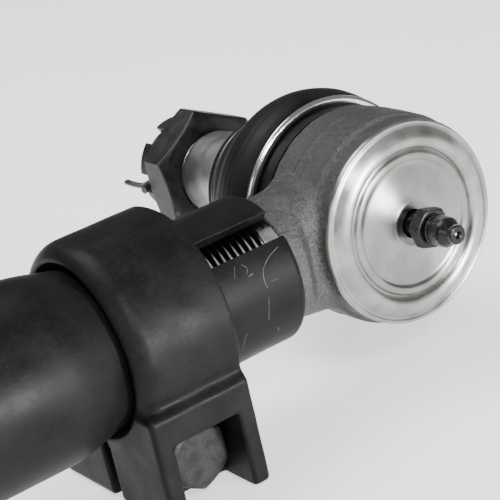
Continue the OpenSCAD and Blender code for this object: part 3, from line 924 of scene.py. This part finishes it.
@dataclass
class BallStud:
    """The tapered ball stud with its castle nut and cotter pin."""

    body: str = "stud"
    ball_r: float = 12.7
    ball_y: float = 2.5
    taper_r: float = 11.0
    taper_start: float = 41.0
    taper_end: float = 59.4
    end_y: float = 77.0
    thread_r: float = 9.45
    pitch: float = 1.5875
    nut_af: float = 26.99
    nut_y: float = 59.7
    crown_y: float = 68.9
    crown_h: float = 6.2
    crown_r: float = 11.9
    corner_deg: float = 94.5
    pin_y: float = 72.0

    @property
    def pin_deg(self) -> float:
        """Direction in which the cotter pin leaves the crown, from +X towards +Z."""
        return self.corner_deg + 90

    def make_stud(self) -> None:
        """Build the ball with its taper, and the thread beyond it."""
        small = self.taper_r - (self.taper_end - self.taper_start) / 16
        ball = arc(0, self.ball_y, self.ball_r, -61, 53.4, 28)
        line = [(0.02, self.ball_y - 11.1), *ball, (7.5, 14.2), (7.5, 16.5), (7.6, 18.6), (8.3, 21),
                (9.9, 24), (10.8, 25.6), (self.taper_r, 27.0), (self.taper_r, self.taper_start),
                (small + 0.06, self.taper_end - 0.7), (small - 0.5, self.taper_end), (0.02, self.taper_end)]
        stud = lathe("tapered_ball_stud", line, turns=128, sharp_deg=40)
        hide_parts("ball_stud")
        thread = screw("stud_thread", self.thread_r, self.pitch, self.taper_end - 0.2, self.end_y, Axis.STUD)
        for piece, finish in ((stud, STUD_STEEL), (thread, STUD_THREAD)):
            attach(DRESSER.dress(piece, finish), self.body)
        log.info("stud built")

    def nut_shape(self, p: np.ndarray) -> np.ndarray:
        """The castle nut as a field: chamfered hexagon, crown and six slots.

        Args:
            p: rows of points, in millimetres.

        Returns:
            The distance outside it at each point.
        """
        x, y, z = p.T
        r = np.hypot(x, z)
        bar = cut(hexagon(x, z, self.nut_af, self.corner_deg), slab(y, self.nut_y, self.crown_y), 0.35)
        near = (r - 13.1 - 1.7 * (y - self.nut_y)) / 1.97
        far = (r - self.crown_r - 0.7 - 2.0 * (self.crown_y - y)) / 2.2
        bar = cut(cut(bar, near, 0.4), far, 0.3)
        crown = cut(r - self.crown_r, slab(y, self.crown_y - 2, self.crown_y + self.crown_h), 0.9)
        nut = join(bar, crown, 0.5)
        for k in range(3):
            a = math.radians(self.pin_deg + 60 * k)
            across = np.abs(x * math.sin(a) - z * math.cos(a)) - 2.2
            nut = cut(nut, -np.maximum(across, self.crown_y + 0.1 - y), 0.3)
        return cut(nut, self.thread_r + 0.1 - r, 0.3)

    def pin_point(self, out: float, along: float, across: float = 0.0) -> tuple[float, float, float]:
        """A point in space from its distances out of the stud, along the stud and across the pin.

        Args:
            out: distance from the stud's axis, along the pin.
            along: distance past the pin's line, along the stud.
            across: distance to the pin's side.

        Returns:
            The point.
        """
        a = math.radians(self.pin_deg)
        return (out * math.cos(a) - across * math.sin(a), self.pin_y + along,
                out * math.sin(a) + across * math.cos(a))

    def make_pin(self) -> None:
        """Build the split pin's two half-round legs, bent apart, with their shared eye."""
        eye = [(-13.6 - 2.6 - 2.4 * math.cos(t), 2.4 * math.sin(t)) for t in np.linspace(math.pi, 0, 12)]
        line = [(12.0, 0.75), (5, 0.72), (-5, 0.72), (-12.4, 0.72), *[(u, v) for u, v in eye[1:-1]]]
        back = [(u, -v) for u, v in line[::-1][1:]]
        bends = [[(13.0, 1.5), (13.3, 3.0), (13.4, 5.2), (13.3, 7.6)], [(12.6, -0.8), (13.6, -1.3), (14.6, -2.0)]]
        route = [*bends[0][::-1], *line, *back, *bends[1]]
        smooth = eased([tuple(p) for p in route], 4)
        pin = wire("split_cotter_pin", np.array([self.pin_point(u, v) for u, v in smooth]), 0.95, 14, 0.72)
        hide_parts("cotter_pin")
        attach(DRESSER.dress(pin, PIN), self.body)
        log.info("cotter pin built")

    def build(self) -> None:
        """Build the stud, its nut and its pin."""
        self.make_stud()
        reach = self.nut_af / 2 / math.cos(math.pi / 6)
        nut = solid("castle_nut_body", self.nut_shape, (-reach, self.nut_y, -reach),
                    (reach, self.crown_y + self.crown_h, reach), 0.4)
        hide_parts("castle_nut")
        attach(DRESSER.dress(nut, OXIDE), self.body)
        self.make_pin()


# ---------------------------------------------------------------- the sleeve


@dataclass
class AdjustingSleeve:
    """The slotted tube, swaged up to its larger middle, with its two clamps and their bolts."""

    body: str = "sleeve"
    tube_r: float = 15.875
    middle_r: float = 19.05
    start: float = 30.5
    end: float = 180.8
    swage_start: float = 67.5
    swage_len: float = 19.0
    bore_r: float = 12.75
    slot_w: float = 6.1
    slot_len: float = 40.0
    slot_deg: float = 40.5
    clamp_start: float = 51.1
    clamp_w: float = 23.5
    clamp_r: float = 21.55
    clamp_round: float = 5.0
    flare_r: float = 18.5
    ear_y: float = 21.5
    ear_low: float = -33.0
    ear_high: float = -9.5
    ear_gap: float = 3.2
    ear_face: float = 10.5
    pocket_r: float = 7.6
    bolt_z: float = -24.1
    bolt_r: float = 3.97
    bolt_af: float = 12.7
    head_h: float = 5.4
    washer_h: float = 2.0
    nut_h: float = 6.9
    bolt_end: float = 22.4
    scratches: list[tuple[Outline, float]] = field(default_factory=lambda: [
        ([(33.6, 58.5), (36.3, 62), (38.6, 68), (39.4, 75), (39.3, 82)], 0.12),
        ([(39.6, 88), (40.1, 98), (40.4, 106)], 0.09),
        ([(44.2, 58), (44.8, 62), (45.3, 66)], 0.1), ([(42.6, 59), (41.9, 63), (42.5, 66.5)], 0.1),
        ([(41.2, 68), (42.4, 68.6)], 0.14), ([(45.8, 108), (46.3, 113), (46.7, 122)], 0.1),
        ([(38.0, 117), (37.7, 121)], 0.14), ([(36.2, 79), (38, 78.4)], 0.06)])

    def tube(self, p: np.ndarray) -> np.ndarray:
        """The tube as a field.

        Args:
            p: rows of points, in millimetres.

        Returns:
            The distance outside it at each point.
        """
        x, y, z = p.T
        d, r = -x, np.hypot(y, z)
        near = np.minimum(d, self.start + self.end - d)
        outer = self.tube_r + (self.middle_r - self.tube_r) * step(near, self.swage_start,
                                                                   self.swage_start + self.swage_len)
        tube = cut(r - outer + 0.025 * ripple(p, 9), self.start - near, 1.3)
        middle = (self.start + self.end) / 2
        bore = self.bore_r + (self.middle_r - 3.2 - self.bore_r) * step(-np.abs(d - middle), -16, -8)
        tube = cut(tube, bore - r, 0.5)
        a = math.radians(self.slot_deg)
        up, side = z * math.cos(a) - y * math.sin(a), np.abs(z * math.sin(a) + y * math.cos(a))
        slot = cut(side - self.slot_w / 2, near - self.start - self.slot_len, 3.4)
        return cut(tube, -np.maximum(slot, -up), 0.25)

    def clamp(self, d: np.ndarray, y: np.ndarray, z: np.ndarray) -> np.ndarray:
        """One clamp as a field, with d measured from its flat face towards its round edge.

        Args:
            d: distance from the flat face.
            y: distance across the sleeve.
            z: height.

        Returns:
            The distance outside it at each point.
        """
        r = np.hypot(y, z)
        ring = cut(r - self.clamp_r, d - self.clamp_w, self.clamp_round)
        ring = cut(ring, -d, 1.1)
        ears = cut(slab(z, self.ear_low, self.ear_high), slab(y, -self.ear_y, self.ear_y), 1.6)
        ears = cut(ears, slab(d, 0, self.clamp_w), 1.4)
        body = cut(join(ring, ears, 2.0), slab(d, 0, self.clamp_w), 1.0)
        body = cut(body, slab(z, self.ear_low, self.clamp_r), 0.8)
        gap = np.maximum(np.abs(y) - self.ear_gap / 2, z + 7)
        body = cut(body, -gap, 0.6)
        bore = self.tube_r + 0.04 + (self.flare_r - self.tube_r) * step(d, self.clamp_w - 7, self.clamp_w + 1)
        body = cut(body, bore - r, 0.7)
        reach = np.hypot(d - self.clamp_w / 2, z - self.bolt_z)
        drop = np.maximum(np.abs(d - self.clamp_w / 2), z - self.bolt_z)
        pocket = np.maximum(np.minimum(reach, drop) - self.pocket_r, self.ear_face - np.abs(y))
        return cut(cut(body, -pocket, 0.9), self.bolt_r + 0.35 - reach, 0.4)

    def make_clamp(self, name: str, node: str, face: float, way: int) -> None:
        """Build one clamp.

        Args:
            name: the piece's name.
            node: the CAD node it stands for.
            face: distance of its flat face along the sleeve.
            way: 1 if its round edge is further along the sleeve than its face, and -1 if nearer.
        """

        def shape(p: np.ndarray) -> np.ndarray:
            """The clamp where it sits, with a little unevenness from its casting."""
            d = (-p[:, 0] - face) * way
            return self.clamp(d, p[:, 1], p[:, 2]) + 0.05 * ripple(p, 6)

        ends = sorted((-face, -face - way * self.clamp_w))
        clamp = solid(name, shape, (ends[0], -self.ear_y, self.ear_low), (ends[1], self.ear_y, self.clamp_r), 0.55)
        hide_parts(node)
        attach(DRESSER.dress(clamp, CLAMP_PAINT), self.body)
        log.info("%s built", name)

    def bolt(self, x: np.ndarray, y: np.ndarray, z: np.ndarray) -> np.ndarray:
        """A clamp bolt as a field: chamfered hexagon head with a washer face, and its shank.

        Args:
            x: distance along the sleeve from the bolt.
            y: distance along the bolt.
            z: height above the bolt.

        Returns:
            The distance outside it at each point.
        """
        r = np.hypot(x, z)
        under = -self.ear_face
        head = cut(hexagon(x, z, self.bolt_af, 30), slab(y, under - self.head_h, under - 0.4), 0.25)
        head = cut(head, (r - 5.9 - 1.7 * (y - under + self.head_h)) / 1.97, 0.3)
        head = np.minimum(head, cut(r - 5.9, slab(y, under - 1, under), 0.2))
        return join(head, cut(r - self.bolt_r, slab(y, under - 1, self.bolt_end), 0.7), 0.3)

    def bolt_nut(self, x: np.ndarray, y: np.ndarray, z: np.ndarray) -> np.ndarray:
        """A clamp nut as a field, chamfered on both faces.

        Args:
            x: distance along the sleeve from the bolt.
            y: distance along the bolt.
            z: height above the bolt.

        Returns:
            The distance outside it at each point.
        """
        r = np.hypot(x, z)
        low = self.ear_face + self.washer_h
        nut = cut(hexagon(x, z, self.bolt_af, 30), slab(y, low, low + self.nut_h), 0.25)
        for depth in (y - low, low + self.nut_h - y):
            nut = cut(nut, (r - 5.9 - 1.7 * depth) / 1.97, 0.3)
        return cut(nut, self.bolt_r + 0.1 - r, 0.3)

    def make_fasteners(self, side: str, d: float) -> None:
        """Build the bolt and the nut of one clamp.

        Args:
            side: which clamp they hold.
            d: distance of the bolt along the sleeve.
        """
        for kind, node, shape, low, high in (
            ("bolt", "clamp_bolts", self.bolt, -self.ear_face - self.head_h, self.bolt_end),
            ("nut", "clamp_nuts", self.bolt_nut, self.ear_face + self.washer_h,
             self.ear_face + self.washer_h + self.nut_h),
        ):
            piece = solid(
                f"{side}_clamp_{kind}", lambda p: shape(p[:, 0] + d, p[:, 1], p[:, 2] - self.bolt_z),
                (-d - 7.4, low, self.bolt_z - 7.4), (-d + 7.4, high, self.bolt_z + 7.4), 0.35)
            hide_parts(node)
            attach(DRESSER.dress(piece, OXIDE), self.body)

    def make_scratches(self) -> None:
        """Score a few fine bright scratches in the tube's paint below its near slot."""
        for number, (ends, size) in enumerate(self.scratches):
            smooth = eased(ends, 6)
            r = self.tube_r - 0.6 * size
            turns = np.radians([a for _, a in smooth])
            path = np.c_[[-d for d, _ in smooth], -r * np.sin(turns), r * np.cos(turns)]
            piece = wire(f"tube_scratch_{number}", path, size, 8)
            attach(DRESSER.dress(piece, SCRATCH), self.body)

    def build(self) -> None:
        """Build the tube, both clamps and their fasteners."""
        tube = solid("slotted_tube", self.tube, (-self.end, -self.middle_r, -self.middle_r),
                     (-self.start, self.middle_r, self.middle_r), 0.6)
        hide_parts("adjusting_sleeve")
        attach(DRESSER.dress(tube, SLEEVE_PAINT), self.body)
        self.make_clamp("near_clamp_casting", "near_clamp", self.clamp_start, 1)
        self.make_clamp("far_clamp_casting", "far_clamp", self.start + self.end - self.clamp_start, -1)
        for side, d in (("near", self.clamp_start + self.clamp_w / 2),
                        ("far", self.start + self.end - self.clamp_start - self.clamp_w / 2)):
            self.make_fasteners(side, d)
        DRESSER.dress_node("clamp_lock_washers", SPRING)
        self.make_scratches()
        log.info("sleeve built")


# ---------------------------------------------------------------- the studio


@dataclass
class Studio:
    """A pale floor, soft lights and the camera."""

    floor_z: float = -33.0
    camera_at: Colour = (-0.20883, -0.29203, 0.13462)
    right: Colour = (0.79242, -0.57341, -0.20801)
    up: Colour = (0.37075, 0.18199, 0.91073)
    back: Colour = (-0.48437, -0.79880, 0.35680)
    lens: float = 129.6
    dark_side: Colour = (-0.8, -0.6, 0.03)
    room_light: float = 0.25
    floor_size: float = 6.0
    floor_glow: float = 1.0

    def make_floor(self) -> None:
        """Lay a wide pale floor just under the object."""
        mesh = bpy.data.meshes.new("floor")
        s = self.floor_size
        z = self.floor_z * MM - 0.0002
        mesh.from_pydata([(-s, -s, z), (s, -s, z), (s, s, z), (-s, s, z)], [], [(0, 1, 2, 3)])
        floor = bpy.data.objects.new("floor", mesh)
        bpy.context.scene.collection.objects.link(floor)
        sheet = NodeSheet("pale_floor")
        colour = sheet.mix(sheet.noise(40, 3), (0.86, 0.86, 0.86), (0.9, 0.9, 0.9))
        sheet.shade(Base_Color=colour, Roughness=0.7, Specular_IOR_Level=0.2, Emission_Color=(1, 1, 1, 1),
                    Emission_Strength=self.floor_glow)
        mesh.materials.append(sheet.material)

    def make_light(self, name: str, at: Colour, toward: Colour, size: float, watts: float) -> None:
        """Hang a square soft light at one point, facing another, all in metres.

        Args:
            name: the light's name.
            at: where it hangs.
            toward: what it faces.
            size: length of its sides.
            watts: its power.
        """
        lamp = bpy.data.lights.new(name, "AREA")
        lamp.shape, lamp.size, lamp.energy = "SQUARE", size, watts
        light = bpy.data.objects.new(name, lamp)
        light.location = at
        light.rotation_mode = "QUATERNION"
        light.rotation_quaternion = (Vector(toward) - Vector(at)).to_track_quat("-Z", "Y")
        light.visible_camera = False
        bpy.context.scene.collection.objects.link(light)

    def make_camera(self) -> None:
        """Set the camera."""
        data = bpy.data.cameras.new("camera")
        data.lens, data.sensor_width = self.lens, 36.0
        data.clip_start, data.clip_end = 0.01, 20.0
        camera = bpy.data.objects.new("camera", data)
        turn = Matrix((self.right, self.up, self.back)).transposed()
        camera.matrix_world = Matrix.Translation(self.camera_at) @ turn.to_4x4()
        bpy.context.scene.collection.objects.link(camera)
        bpy.context.scene.camera = camera

    def make_room(self) -> None:
        """Surround the set with soft white that has one dark opening low on its front left."""
        world = bpy.data.worlds.new("soft_room")
        world.use_nodes = True
        tree = world.node_tree
        toward = tree.nodes.new("ShaderNodeTexCoord").outputs["Generated"]
        dot = tree.nodes.new("ShaderNodeVectorMath")
        dot.operation = "DOT_PRODUCT"
        dot.inputs[1].default_value = self.dark_side
        tree.links.new(toward, dot.inputs[0])
        shade = tree.nodes.new("ShaderNodeMapRange")
        shade.interpolation_type = "SMOOTHSTEP"
        for i, value in enumerate((0.72, 0.93, 1.0, 0.06), 1):
            shade.inputs[i].default_value = value
        tree.links.new(dot.outputs["Value"], shade.inputs[0])
        tree.links.new(shade.outputs[0], tree.nodes["Background"].inputs[0])
        tree.nodes["Background"].inputs[1].default_value = self.room_light
        bpy.context.scene.world = world

    def build(self) -> None:
        """Set the floor, the lights, the surroundings and the camera."""
        self.make_floor()
        self.make_room()
        self.make_light("key", (-0.2, 0.3, 0.75), (-0.04, 0, 0), 0.5, 7.0)
        self.make_light("rim_light", (-0.23, -0.77, 0.6), (0, 0, 0), 0.2, 6.0)
        self.make_light("cover_light", (0.17, -0.78, 0.05), (0, 0, 0), 0.16, 13.0)
        self.make_light("side_light", (-0.75, -0.35, 0.35), (-0.06, 0, 0), 0.3, 1.5)
        self.make_camera()
        log.info("studio set")


def main() -> None:
    """Build every sub-assembly and the studio, in order."""
    logging.basicConfig(level=logging.INFO, format="%(name)s: %(message)s")
    for part in (Socket(), GreaseFitting(), DustBoot(), BallStud(), AdjustingSleeve(), Studio()):
        part.build()
        log.info("%s done", type(part).__name__)


if __name__ == "__main__":
    main()
